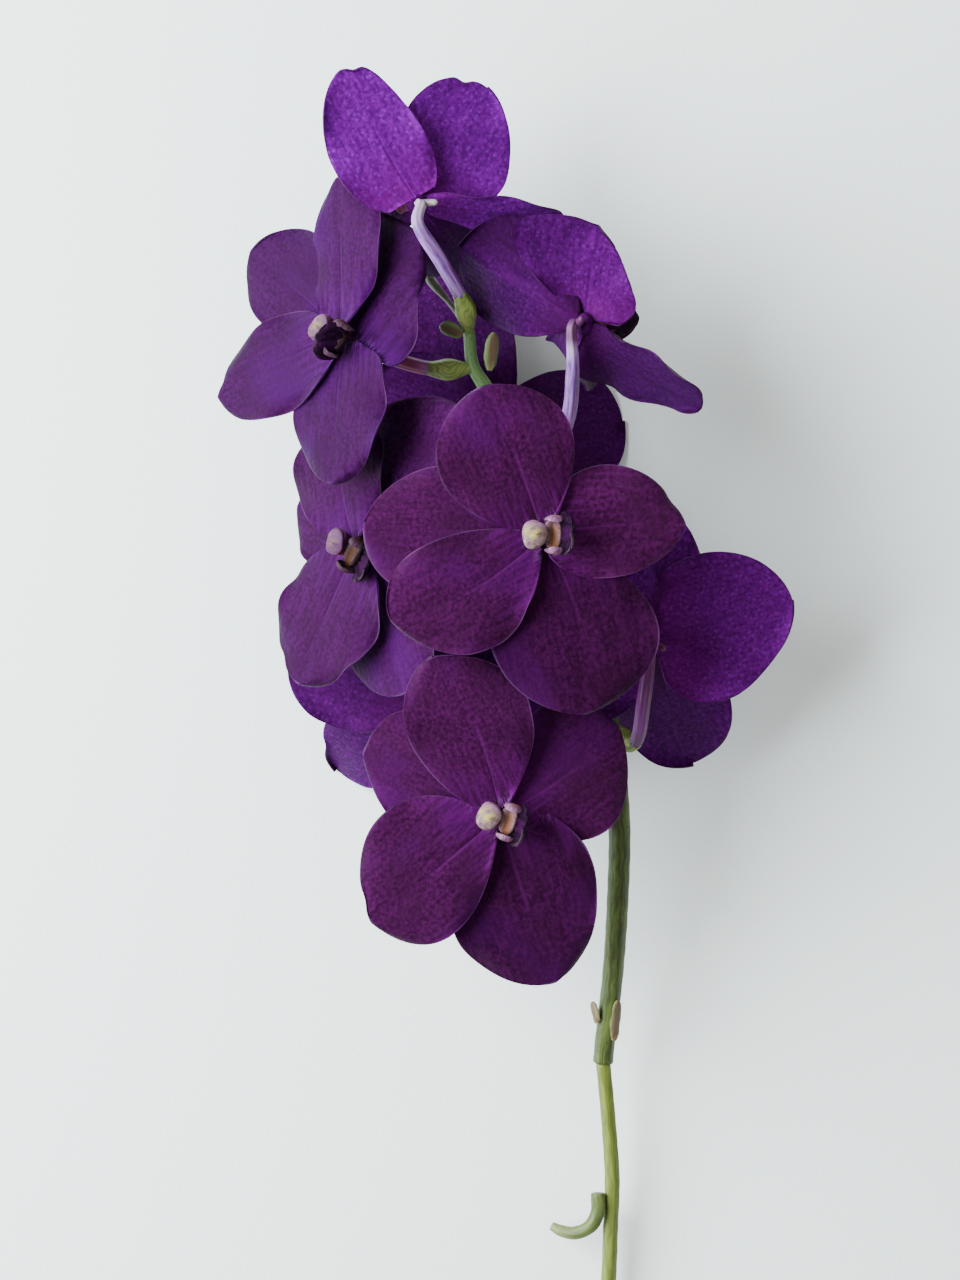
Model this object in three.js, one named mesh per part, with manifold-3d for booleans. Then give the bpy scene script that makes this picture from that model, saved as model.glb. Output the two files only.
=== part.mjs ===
// A cut vanda orchid spray lying on a table: nine violet blooms and a green stem.
// Millimetres, +Z up. The table is z = 0, the stem runs along Y and the blooms are at +Y.
import * as THREE from "three";
import { mergeVertices } from "three/addons/utils/BufferGeometryUtils.js";
import Module from "manifold-3d";

const wasm = await Module();
wasm.setup();

// Places are given as an eye straight above the spray sees them on one plane.
const EYE_HEIGHT = 1000;
const SEEN_PLANE = 45;
const FOOTPRINT_CENTRE = [6.45, -38.4];

// Clear space between two pieces that meet.
const GAP = 0.3;

// Tepals: the three sepals and two petals of a bloom.
const TEPAL_THICKNESS = 0.8;
const TEPAL_ROWS = 6;
const TEPAL_COLUMNS = 4;
const CLAW = 0.64;
const ROUND_TIP = 0.5;
const CLAW_START = 0.04;
const TWIST_END = 0.35;
const MARGIN_WAVE = 1.1;
const MARGIN_WAVES = 2;
const PETAL_LIFT = 1.35;
const SEPAL_LIFTS = { dorsal: -1.3, laterals: [0, -1.3] };

// The disc that a bloom's tepals, lip, column and stalk all join.
const HEART_RADIUS = 3.2;
const HEART_HALF_HEIGHT = 1.8;
const HEART_SIDES = 10;

// The column in the middle and the lip below it: two side lobes and a tongue.
const MIDDLE_GAP = 0.95;
const COLUMN_LENGTH = 6.5;
const COLUMN_RADIUS = 3.3;
const COLUMN_BACK = 1.3;
const LIP_FOOT = 4.8;
const LIP_PAD_SIZE = [1.9, 4.6, 1.5];
const SIDE_LOBE_SIZE = [2.8, 1.4, 3];
const SIDE_LOBE_SPREAD = 4.6;
const TONGUE_FORWARD = 11;
const TONGUE_REACH = 4.5;
const TONGUE_WIDTH = 8.5;
const TONGUE_THICKNESS = 1.8;
const SPUR_LENGTH = 5.5;
const SPUR_RADIUS = 1.2;

// Stalks: a swollen green foot on the stem, then the lilac ovary up to the bloom.
const STALK_RADIUS = 1.9;
const STALK_FOOT_RADIUS = 1.5;
const STALK_BULGE = 1.3;
const STALK_SIDES = 6;
const STALK_STEP = 5;
const GREEN_FOOT_LENGTH = 13;

// Steps along a curve at which the turn of a tube round it is worked out.
const TURN_STEPS = 100;

const STEM_SIDES = 8;

const BLOOMS = {
  centre: {
    heart: [17, 29.5, 84],
    facing: [0.12, -0.02, 1],
    lip: [1, 0],
    tongue: [27, 30, 95],
    dorsal: { tip: [-32.6, 31.3, 80], width: 35.6, bow: 1, blunt: 0.54, sway: 0.2, skew: 0.11 },
    petals: [
      { tip: [0.4, 70.8, 90], width: 37.6, bow: 2, claw: 0.84, blunt: 0.62, lean: -0.09, sway: 0.9 },
      { tip: [-25.1, 5.9, 87], width: 32.9, bow: 2, claw: 0.85, blunt: 0.62, sway: -3.7, skew: -0.03 },
    ],
    laterals: [
      { tip: [57.4, 32.6, 77], width: 30.4, bow: 1, claw: 0.51, blunt: 0.62, lean: -0.07, sway: -1.1 },
      { tip: [30, -20.6, 77], width: 46, bow: 1, claw: 0.85, blunt: 0.62, lean: 0.08, sway: -4, skew: 0.14 },
    ],
    stalk: [[24, 20, 43], [20, 24, 58], [17.5, 28, 72]],
  },
  bottom: {
    heart: [5.5, -49, 64],
    facing: [-0.05, -0.12, 1],
    lip: [1, -0.3],
    tongue: [13.4, -53.5, 74],
    dorsal: { tip: [-32.6, -31.4, 57], width: 33.2, bow: 1, blunt: 0.55, skew: -0.35 },
    petals: [
      { tip: [-13.4, -4.8, 74], width: 34.6, bow: 1, claw: 0.9, blunt: 0.66, lean: -0.04, sway: 3.3 },
      { tip: [-30.2, -79.2, 59], width: 38, bow: 2, claw: 0.85, blunt: 0.62, lean: 0.12, skew: 0.15 },
    ],
    laterals: [
      { tip: [38.9, -24.5, 56], width: 38.3, bow: 2, claw: 0.9, blunt: 0.66, sway: 1.7, skew: 0.1 },
      { tip: [20.9, -95.9, 50], width: 42, bow: 2, claw: 0.52, blunt: 0.58, sway: 0.7, skew: -0.12 },
    ],
    stalk: [[38.5, -50, 33], [28, -50, 42], [13, -49.5, 52]],
  },
  left: {
    heart: [-34, 26, 52],
    facing: [-0.6, -0.05, 0.8],
    lip: [1, -0.6],
    tongue: [-31.5, 19, 62],
    dorsal: { tip: [-51, 37.6, 36], width: 27.3, blunt: 0.52, lean: 0.03, sway: 0.2, skew: -0.08 },
    petals: [
      { tip: [-39.6, 62.9, 56], width: 32.7, claw: 0.85, blunt: 0.6, lean: -0.05, sway: -2.2, skew: -0.15 },
      { tip: [-50.9, -12.2, 44], width: 34.5, claw: 0.59, blunt: 0.6, lean: -0.02, sway: 0.3, skew: -0.06 },
    ],
    laterals: [
      { tip: [-6.3, 65.3, 66], width: 38.6, blunt: 0.54, lean: -0.07, sway: -0.7, skew: -0.09 },
      { tip: [-21.3, -15.1, 54], width: 33.9, skew: -0.03 },
    ],
    stalk: [[14, 44, 44], [-6, 34, 43], [-24, 27.5, 44]],
  },
  upper_left: {
    heart: [-38.5, 85, 62],
    facing: [-0.6, 0.12, 0.8],
    lip: [1, -0.6],
    tongue: [-46.5, 83, 72],
    dorsal: { tip: [-64.3, 108.3, 40], width: 30.3, claw: 0.61, lean: 0.08, sway: 0.8 },
    petals: [
      { tip: [-40, 129.4, 54.5], width: 23.9, claw: 0.7, blunt: 0.57, lean: 0.14, sway: 1, skew: -0.09 },
      { tip: [-73.5, 68, 42], width: 27.7, claw: 0.59, blunt: 0.6, lean: -0.04, sway: 1, skew: 0.06 },
    ],
    laterals: [
      { tip: [-41.8, 43.9, 67], width: 31.2, claw: 0.56, blunt: 0.58, lean: -0.03, skew: 0.04 },
      { tip: [-16.7, 113.6, 64], width: 46.5, claw: 0.55, blunt: 0.66, lean: -0.1, sway: -1.6, skew: 0.45 },
    ],
    stalk: [[-2, 76, 49], [-14, 76, 50], [-30, 81, 54]],
  },
  upper_right: {
    heart: [29, 88.5, 66],
    facing: [0.6, 0.1, -0.75],
    lip: [1, 0.35],
    dorsal: { tip: [-5.4, 110.3, 52], width: 33, bow: -1, claw: 0.9, blunt: 0.54, fold: -0.4 },
    petals: [
      { tip: [33.5, 117.7, 70], width: 36.4, tilt: -32, blunt: 0.66, lean: 0.26, sway: 0.7, skew: -0.6 },
      { tip: [35, 78, 32], width: 17, bow: -9 },
    ],
    laterals: [
      { tip: [62, 65, 78], width: 26, tilt: -35, claw: 0.55, blunt: 0.57, lean: -0.22, sway: -1.1, skew: -0.5 },
      { tip: [44, 90, 32], width: 20, bow: -8 },
    ],
    stalk: [[15, 46, 45], [24, 60, 55], [26, 76, 66]],
  },
  top: {
    heart: [-17.5, 122.5, 62],
    facing: [-0.2, 0.25, -0.9],
    lip: [1, 0.2],
    lipGap: 1.6,
    dorsal: { tip: [-38.1, 160.4, 70], width: 26.8, claw: 0.38, blunt: 0.54, lean: 0.12, sway: 1 },
    petals: [
      { tip: [1.7, 154.6, 54], width: 34.3, claw: 0.56, blunt: 0.57, lean: -0.02, sway: -1, skew: -0.1 },
      { tip: [-36, 121, 36], width: 16, bow: -3 },
    ],
    laterals: [
      { tip: [-3, 105, 22], width: 16, bow: -6 },
      { tip: [23.2, 118.7, 48], width: 11.9, tilt: -31, blunt: 0.55, lean: -0.04, sway: -0.5, skew: 0.09 },
    ],
    stalk: [[-3, 86, 50], [-4.5, 94, 55], [-11, 106, 64], [-17.5, 117, 70]],
  },
  right: {
    heart: [47, 0, 48],
    facing: [-0.12, 0.1, -1],
    lip: [1, -0.5],
    dorsal: { tip: [29, 22, 51], width: 26 },
    petals: [
      { tip: [51.7, 35.3, 40], width: 27.2, blunt: 0.53, skew: -0.11 },
      { tip: [22.5, -17, 50], width: 26 },
    ],
    laterals: [
      { tip: [87.2, 11.4, 44], width: 41.6, claw: 0.39, blunt: 0.57, lean: -0.05, sway: -0.2, skew: -0.07 },
      { tip: [59.7, -34.1, 20], width: 33.2, tilt: -17, claw: 0.61, blunt: 0.54, skew: 0.05 },
    ],
    stalk: [[36.5, -24, 38], [43, -29, 46], [46, -16, 56]],
  },
  lower_left: {
    heart: [-15.5, -17, 28],
    facing: [-0.05, 0.15, -1],
    lip: [0.8, -0.6],
    lipGap: 1.9,
    dorsal: { tip: [-53.5, -7.9, 20], width: 26.4, claw: 0.66, blunt: 0.54, sway: 0.3, skew: 0.04 },
    petals: [
      { tip: [4, 6, 22], width: 28 },
      { tip: [-40, -36, 0.1], width: 27, bow: -4.5, claw: 0.61, blunt: 0.58, lean: -0.08, sway: -1, skew: -0.1 },
    ],
    laterals: [
      { tip: [22, -24, 20], width: 28 },
      { tip: [-17, -42, 16], width: 24 },
    ],
    stalk: [[31, 0, 42], [14, -10, 42], [-6, -16, 36]],
  },
  back: {
    heart: [5.5, 58, 18],
    facing: [0.05, 0.05, -1],
    lip: [1, -0.2],
    lipGap: 1.1,
    dorsal: { tip: [-29.5, 73, 10], width: 28 },
    petals: [
      { tip: [-14.6, 100.1, 0], width: 34.7, bow: -1.5, claw: 0.68, skew: 0.14 },
      { tip: [-14, 28, 10], width: 28 },
    ],
    laterals: [
      { tip: [39.6, 61.3, 0], width: 35.4, bow: -1.5, claw: 0.55, blunt: 0.47, sway: -1.3, skew: 0.11 },
      { tip: [24, 22, 12], width: 26 },
    ],
    stalk: [[8, 59.5, 46], [5, 58, 36], [5.5, 58, 28]],
  },
};

// The stem from the last stalk at its tip down to the step in it: place and radius.
const GREEN_STEM = [
  [-3, 86, 50, 1.6],
  [-2, 77, 49, 1.8],
  [2, 70, 48, 2.1],
  [11, 53, 46, 2.3],
  [22.5, 28, 43.5, 2.5],
  [31, 0, 41, 2.7],
  [37, -28, 38, 2.9],
  [39, -50.5, 34, 3.1],
  [38.5, -73, 30, 3.1],
  [37, -95, 25, 3.0],
  [35, -112, 20.5, 2.9],
  [34.5, -118, 19, 2.9],
];
const PALE_STEM = [
  [34.5, -118, 19, 2.1],
  [36, -134.5, 15, 2.1],
  [37, -151, 11.5, 2.2],
  [36.5, -165, 9, 2.2],
  [36, -179, 7, 2.2],
  [34, -207, 4, 2.2],
  [33, -224, 2, 2.2],
];

// A broken side shoot beside the pale stem: place and radius.
const SIDE_SHOOT = [
  [33, -155, 12.6, 2.0],
  [33, -160, 12.2, 2.1],
  [31, -164, 11.2, 2.0],
  [26.5, -166, 9.4, 1.9],
  [22.5, -165.3, 8.2, 1.7],
  [20, -164, 7.6, 1.2],
];

// The withered tip of the stem, under the top bloom's stalk.
const WITHERED_TIP = [
  [-3, 86, 49.4, 0.8],
  [-5, 89.5, 44, 0.8],
  [-9, 95, 39.5, 0.8],
  [-12, 98.5, 38, 1.3],
  [-13.8, 100.8, 37, 1.4],
  [-15, 102.6, 36.8, 0.8],
];

// Small scales left where buds fell or leaves sat: from foot to point.
const SCALES = {
  small_bud_scale: { base: [-4.6, 85.4, 51], tip: [-11, 88, 53], width: 4.5, tilt: 30 },
  large_bud_scale: { base: [2.6, 75, 50.6], tip: [4, 86, 52], width: 4.4, tilt: -30 },
  broken_leaf_scale: { base: [33, -107.5, 24.3], tip: [31.3, -101.5, 25], width: 3.4, tilt: 60 },
  brown_leaf_scale: { base: [37.4, -112.5, 23.2], tip: [38.8, -101, 26.9], width: 4, tilt: -45 },
};
const SCALE_THICKNESS = 0.9;

const VIOLET = { color: 0x4b1285, roughness: 0.55, metalness: 0 };
const DARK_LIP = { color: 0x2a0a2c, roughness: 0.45, metalness: 0 };
const CREAM = { color: 0xe9dccb, roughness: 0.5, metalness: 0 };
const LILAC = { color: 0xa48fc8, roughness: 0.5, metalness: 0 };
const GREEN = { color: 0x4a6a32, roughness: 0.5, metalness: 0 };
const TAN = { color: 0x8a8350, roughness: 0.6, metalness: 0 };
const PALE_GREEN = { color: 0x97a552, roughness: 0.5, metalness: 0 };

// Moves a place seen on the seen plane to where it lies at its own height.
function spot([x, y, z]) {
  const nearer = (EYE_HEIGHT - z) / (EYE_HEIGHT - SEEN_PLANE);
  return new THREE.Vector3(x * nearer - FOOTPRINT_CENTRE[0], y * nearer - FOOTPRINT_CENTRE[1], z);
}

function solidOf(geometry) {
  const bare = geometry.clone();
  bare.deleteAttribute("normal");
  bare.deleteAttribute("uv");
  const merged = mergeVertices(bare, 1e-4);
  return new wasm.Manifold(
    new wasm.Mesh({
      numProp: 3,
      vertProperties: merged.attributes.position.array,
      triVerts: new Uint32Array(merged.index.array),
    }),
  );
}

function geometryOf(solid) {
  const { numProp, vertProperties, triVerts } = solid.getMesh();
  const count = vertProperties.length / numProp;
  const positions = new Float32Array(count * 3);
  for (let i = 0; i < count; i++)
    positions.set(vertProperties.subarray(i * numProp, i * numProp + 3), i * 3);
  const geometry = new THREE.BufferGeometry();
  geometry.setAttribute("position", new THREE.BufferAttribute(positions, 3));
  geometry.setIndex(new THREE.BufferAttribute(triVerts, 1));
  geometry.computeVertexNormals();
  return geometry;
}

function closedSurface(points, faces) {
  const geometry = new THREE.BufferGeometry().setFromPoints(points);
  geometry.setIndex(faces);
  return geometry;
}

// Joins solids into one body: a hollow that this seals is filled, a loose scrap dropped.
function fuse(solids) {
  const whole = solids.reduce((sum, solid) => sum.add(solid));
  const largerOf = (one, other) => (other.volume() > one.volume() ? other : one);
  return whole.decompose().reduce(largerOf);
}

// Half the width of a tepal at a share of its length, for a full half width of 1.
function outline(share, claw, blunt) {
  const widest = claw / (claw + blunt);
  return Math.pow(share / widest, claw) * Math.pow((1 - share) / (1 - widest), blunt);
}

// A closed blade from base to tip: its middle surface, thickened along the surface's normals.
function blade({ base, tip, facing, width, thickness, rows, columns, ...bend }) {
  const { tilt = 0, bow = 0, wave = 0, lean = 0, sway = 0, skew = 0, fold = 0 } = bend;
  const { claw = CLAW, blunt = ROUND_TIP } = bend;
  const axis = tip.clone().sub(base);
  const length = axis.length();
  axis.normalize();
  const flatNormal = facing.clone().addScaledVector(axis, -facing.dot(axis)).normalize();
  const across = new THREE.Vector3().crossVectors(axis, flatNormal);
  const middle = (share, side) => {
    const turn = THREE.MathUtils.degToRad(tilt) * THREE.MathUtils.smoothstep(share, 0, TWIST_END);
    const shape = outline(share, claw * (1 - skew * side), blunt * (1 + skew * side));
    const halfWidth = (width / 2) * shape;
    const sideways = side * halfWidth * (1 + lean * side) + sway * 4 * share * (1 - share);
    const ripple = wave * side ** 4 * Math.sin(2 * Math.PI * MARGIN_WAVES * share + side);
    const lift = bow * 4 * share * (1 - share) + ripple - fold * Math.abs(side) * halfWidth;
    return base
      .clone()
      .addScaledVector(axis, length * share)
      .addScaledVector(across, sideways * Math.cos(turn) - lift * Math.sin(turn))
      .addScaledVector(flatNormal, sideways * Math.sin(turn) + lift * Math.cos(turn));
  };
  const shareOf = (row) => 1 - (1 - CLAW_START) * (1 - row / rows) ** 2;
  const sideOf = (column) => Math.sin(((column / columns) * 2 - 1) * (Math.PI / 2));
  const normalAt = (share, side) => {
    const small = 0.01;
    const s = Math.min(share, 1 - 3 * small);
    const along = middle(s + small, side).sub(middle(s - small, side));
    const wide = middle(s, side + small).sub(middle(s, side - small));
    return new THREE.Vector3().crossVectors(wide, along).normalize();
  };
  const points = [];
  const faces = [];
  const perFace = rows * (columns + 1) + 1;
  for (const level of [1, -1]) {
    for (let row = 0; row < rows; row++)
      for (let column = 0; column <= columns; column++) {
        const [share, side] = [shareOf(row), sideOf(column)];
        const normal = normalAt(share, side);
        points.push(middle(share, side).addScaledVector(normal, (level * thickness) / 2));
      }
    points.push(middle(1, 0).addScaledVector(normalAt(1, 0), (level * thickness) / 2));
  }
  const front = (row, column) => (row === rows ? perFace - 1 : row * (columns + 1) + column);
  const back = (row, column) => front(row, column) + perFace;
  const triangle = (a, b, c) => {
    if (a !== b && b !== c && c !== a) faces.push(a, b, c);
  };
  for (let row = 0; row < rows; row++)
    for (let column = 0; column < columns; column++) {
      const corners = [
        [row, column],
        [row, column + 1],
        [row + 1, column + 1],
        [row + 1, column],
      ];
      if (column >= columns / 2) corners.unshift(corners.pop());
      const [a, b, c, d] = corners.map((at) => front(...at));
      const [e, f, g, h] = corners.map((at) => back(...at));
      triangle(a, b, c);
      triangle(a, c, d);
      triangle(e, g, f);
      triangle(e, h, g);
    }
  const rim = [];
  for (let row = 0; row < rows; row++) rim.push([row, 0]);
  rim.push([rows, 0]);
  for (let row = rows - 1; row >= 0; row--) rim.push([row, columns]);
  for (let column = columns - 1; column > 0; column--) rim.push([0, column]);
  rim.forEach((at, i) => {
    const next = rim[(i + 1) % rim.length];
    triangle(front(...at), front(...next), back(...next));
    triangle(front(...at), back(...next), back(...at));
  });
  const solid = solidOf(closedSurface(points, faces));
  return solid.volume() > 0 ? solid : solidOf(closedSurface(points, faces.reverse()));
}

// A tube with flat ends along a curve, with a radius that may change on the way.
function tube(curve, radiusAt, sides, steps, from = 0, to = 1) {
  const frames = curve.computeFrenetFrames(TURN_STEPS, false);
  const points = [];
  const faces = [];
  for (let step = 0; step <= steps; step++) {
    const share = from + ((to - from) * step) / steps;
    const centre = curve.getPointAt(share);
    const near = Math.min(Math.round(share * TURN_STEPS), TURN_STEPS);
    for (let i = 0; i < sides; i++) {
      const angle = (i / sides) * 2 * Math.PI;
      points.push(
        centre
          .clone()
          .addScaledVector(frames.normals[near], radiusAt(share) * Math.cos(angle))
          .addScaledVector(frames.binormals[near], radiusAt(share) * Math.sin(angle)),
      );
    }
  }
  const ring = (step, i) => step * sides + (i % sides);
  for (let step = 0; step < steps; step++)
    for (let i = 0; i < sides; i++) {
      faces.push(ring(step, i), ring(step, i + 1), ring(step + 1, i + 1));
      faces.push(ring(step, i), ring(step + 1, i + 1), ring(step + 1, i));
    }
  for (let i = 1; i < sides - 1; i++) {
    faces.push(ring(0, 0), ring(0, i + 1), ring(0, i));
    faces.push(ring(steps, 0), ring(steps, i), ring(steps, i + 1));
  }
  return solidOf(closedSurface(points, faces));
}

function curveThrough(points) {
  return new THREE.CatmullRomCurve3(points, false, "centripetal");
}

// The bloom's own frame: where its heart is, which way it faces and where its lip hangs.
function frameOf(bloom) {
  const heart = spot(bloom.heart);
  const facing = new THREE.Vector3(...bloom.facing).normalize();
  const lip = new THREE.Vector3(...bloom.lip, 0);
  lip.addScaledVector(facing, -lip.dot(facing)).normalize();
  const side = new THREE.Vector3().crossVectors(facing, lip);
  const at = (forward, towardsLip, sideways) =>
    heart
      .clone()
      .addScaledVector(facing, forward)
      .addScaledVector(lip, towardsLip)
      .addScaledVector(side, sideways);
  return { heart, facing, lip, side, at };
}

function tepals(bloom) {
  const { heart, facing, at } = frameOf(bloom);
  const one = ({ tip, ...shape }, lift) => {
    const base = at(lift, 0, 0);
    return blade({
      base,
      tip: spot(tip),
      facing,
      thickness: TEPAL_THICKNESS,
      rows: TEPAL_ROWS,
      columns: TEPAL_COLUMNS,
      wave: MARGIN_WAVE,
      ...shape,
    });
  };
  const disc = new THREE.CylinderGeometry(
    HEART_RADIUS,
    HEART_RADIUS,
    2 * HEART_HALF_HEIGHT,
    HEART_SIDES,
  );
  disc.applyQuaternion(
    new THREE.Quaternion().setFromUnitVectors(new THREE.Vector3(0, 1, 0), facing),
  );
  disc.translate(...heart);
  return fuse([
    solidOf(disc),
    one(bloom.dorsal, SEPAL_LIFTS.dorsal),
    ...bloom.laterals.map((lateral, i) => one(lateral, SEPAL_LIFTS.laterals[i])),
    ...bloom.petals.map((petal) => one(petal, PETAL_LIFT)),
  ]);
}

function column(bloom) {
  const { at } = frameOf(bloom);
  const foot = HEART_HALF_HEIGHT + MIDDLE_GAP;
  const line = curveThrough([
    at(foot, -0.5 * COLUMN_BACK, 0),
    at(foot + COLUMN_LENGTH * 0.5, -COLUMN_BACK, 0),
    at(foot + COLUMN_LENGTH, -COLUMN_BACK, 0),
  ]);
  const radius = (share) => COLUMN_RADIUS * (0.6 + 0.8 * share - 0.8 * share ** 4);
  return tube(line, radius, 8, 3);
}

function lip(bloom) {
  const { facing, lip: hang, side, at } = frameOf(bloom);
  const front = HEART_HALF_HEIGHT + (bloom.lipGap ?? MIDDLE_GAP);
  const ball = (size, centre) => {
    const shape = new THREE.SphereGeometry(1, 6, 4);
    shape.scale(...size);
    shape.applyMatrix4(new THREE.Matrix4().makeBasis(hang, side, facing));
    shape.translate(...centre);
    return solidOf(shape);
  };
  const tongue = blade({
    base: at(front + 0.6, LIP_FOOT - 0.3, 0),
    tip: bloom.tongue ? spot(bloom.tongue) : at(front + TONGUE_FORWARD, LIP_FOOT + TONGUE_REACH, 0),
    facing: hang,
    width: TONGUE_WIDTH,
    thickness: TONGUE_THICKNESS,
    claw: 0.4,
    rows: 4,
    columns: 2,
  });
  return fuse([
    tongue,
    ball(LIP_PAD_SIZE, at(front + 1.5, LIP_FOOT, 0)),
    ball(SIDE_LOBE_SIZE, at(front + 3, LIP_FOOT - 1, SIDE_LOBE_SPREAD)),
    ball(SIDE_LOBE_SIZE, at(front + 3, LIP_FOOT - 1, -SIDE_LOBE_SPREAD)),
  ]);
}

// The whole stalk's line, from inside the stem to just behind the bloom's disc.
function stalkLine(bloom) {
  const { at } = frameOf(bloom);
  const end = at(-HEART_HALF_HEIGHT - GAP, 0, 0);
  const before = at(-HEART_HALF_HEIGHT - GAP - 3, 0, 0);
  return curveThrough([...bloom.stalk.map(spot), before, end]);
}

function stalkRadius(line, share) {
  const along = share * line.getLength();
  const swell = Math.sin(Math.PI * THREE.MathUtils.clamp(along / GREEN_FOOT_LENGTH, 0, 1)) ** 2;
  const grown = THREE.MathUtils.smoothstep(along, 0, GREEN_FOOT_LENGTH);
  return STALK_FOOT_RADIUS + (STALK_RADIUS - STALK_FOOT_RADIUS) * grown + STALK_BULGE * swell;
}

function greenFoot(bloom) {
  const line = stalkLine(bloom);
  const end = GREEN_FOOT_LENGTH / line.getLength();
  return tube(line, (share) => stalkRadius(line, share), STALK_SIDES, 4, 0, end);
}

function ovary(bloom) {
  const line = stalkLine(bloom);
  const length = line.getLength();
  const steps = Math.ceil((length - GREEN_FOOT_LENGTH) / STALK_STEP);
  const start = (GREEN_FOOT_LENGTH + GAP) / length;
  const stalk = tube(line, (share) => stalkRadius(line, share), STALK_SIDES, steps, start, 1);
  return stalk.add(spur(bloom));
}

// The short spur that stands beside the stalk, behind the lip.
function spur(bloom) {
  const { at } = frameOf(bloom);
  const behind = -HEART_HALF_HEIGHT - GAP - SPUR_RADIUS - 0.4;
  const line = new THREE.LineCurve3(
    at(behind, 0.8, 0),
    at(behind - 0.3 * SPUR_LENGTH, 0.8 + SPUR_LENGTH, 0),
  );
  return tube(line, (share) => SPUR_RADIUS * (1 - 0.3 * share), STALK_SIDES, 1);
}

function stemTube(points, sides, shortenStart = 0) {
  const line = curveThrough(points.map(spot));
  const radii = points.map((point) => point[3]);
  const radiusAt = (share) => {
    const t = line.getUtoTmapping(share) * (radii.length - 1);
    const i = Math.min(Math.floor(t), radii.length - 2);
    return THREE.MathUtils.lerp(radii[i], radii[i + 1], t - i);
  };
  const length = line.getLength();
  return tube(line, radiusAt, sides, points.length, shortenStart / length, 1);
}

function greenStem() {
  return fuse([
    stemTube(GREEN_STEM, STEM_SIDES),
    stemTube(WITHERED_TIP, STALK_SIDES),
    ...Object.values(BLOOMS).map((bloom) => greenFoot(bloom)),
  ]);
}

function paleStem() {
  return stemTube(PALE_STEM, STEM_SIDES, GAP);
}

function sideShoot() {
  return stemTube(SIDE_SHOOT, STEM_SIDES);
}

function scale({ base, tip, ...shape }) {
  return blade({
    base: spot(base),
    tip: spot(tip),
    facing: new THREE.Vector3(0, 0, 1),
    thickness: SCALE_THICKNESS,
    rows: 4,
    columns: 2,
    ...shape,
  });
}

const spray = new THREE.Group();
function place(name, solid, finish) {
  const resting = solid.trimByPlane([0, 0, 1], 0);
  const mesh = new THREE.Mesh(geometryOf(resting), new THREE.MeshStandardMaterial(finish));
  mesh.name = name;
  spray.add(mesh);
}

place("green_stem", greenStem(), GREEN);
place("pale_stem", paleStem(), PALE_GREEN);
place("side_shoot", sideShoot(), GREEN);
for (const [name, shape] of Object.entries(SCALES)) place(name, scale(shape), TAN);
for (const [name, bloom] of Object.entries(BLOOMS)) {
  place(`${name}_bloom_tepals`, tepals(bloom), VIOLET);
  place(`${name}_bloom_lip`, lip(bloom), DARK_LIP);
  place(`${name}_bloom_column`, column(bloom), CREAM);
  place(`${name}_bloom_ovary`, ovary(bloom), LILAC);
}

export default spray;
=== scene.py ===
import math
from types import SimpleNamespace

import bpy
import numpy as np
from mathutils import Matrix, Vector


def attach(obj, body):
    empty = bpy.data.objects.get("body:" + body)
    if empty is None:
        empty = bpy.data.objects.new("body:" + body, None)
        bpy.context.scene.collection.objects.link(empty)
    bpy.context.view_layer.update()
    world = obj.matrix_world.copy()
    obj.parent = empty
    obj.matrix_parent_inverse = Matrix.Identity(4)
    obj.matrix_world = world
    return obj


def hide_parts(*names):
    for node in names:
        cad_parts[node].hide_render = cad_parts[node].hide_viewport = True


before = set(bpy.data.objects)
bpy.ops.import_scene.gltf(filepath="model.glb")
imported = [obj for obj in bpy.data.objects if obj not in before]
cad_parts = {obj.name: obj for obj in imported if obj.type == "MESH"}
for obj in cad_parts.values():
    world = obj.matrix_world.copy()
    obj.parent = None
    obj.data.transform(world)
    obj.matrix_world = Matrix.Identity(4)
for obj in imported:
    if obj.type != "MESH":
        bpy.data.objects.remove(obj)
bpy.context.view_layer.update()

# Lengths are in millimetres until a mesh is made. The spray lies on z = 0 with its
# stem along Y, as the CAD model has it, and the script repeats that model's tables.
MM = 0.001

# Places are given as the eye sees them on a plane among the blooms, and the photograph's
# upright frame spans FRAME_HEIGHT_SEEN of that plane.
EYE_HEIGHT = 1000
SEEN_PLANE = 45
FRAME_HEIGHT_SEEN = 358.4
FOOTPRINT_CENTRE = (6.45, -38.4)
SENSOR = 36

# The clearance between a piece and the next one, and over the floor.
GAP = 0.3
FLOOR_CLEARANCE = 0.05

# In every blade: the shares of its length that its foot hides, where a twist in it ends and
# where its nicks point; the number of its slow waves; the midrib's share of half its width;
# the power by which its edge thins; and what is left of it where the floor presses it.
CLAW_START = 0.04
TWIST_END = 0.35
NOTCH_CENTRE = 0.55
MARGIN_WAVES = 2
MIDRIB_WIDTH = 0.09
EDGE_SHARPNESS = 5
PRESSED_THICKNESS = 0.4

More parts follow.
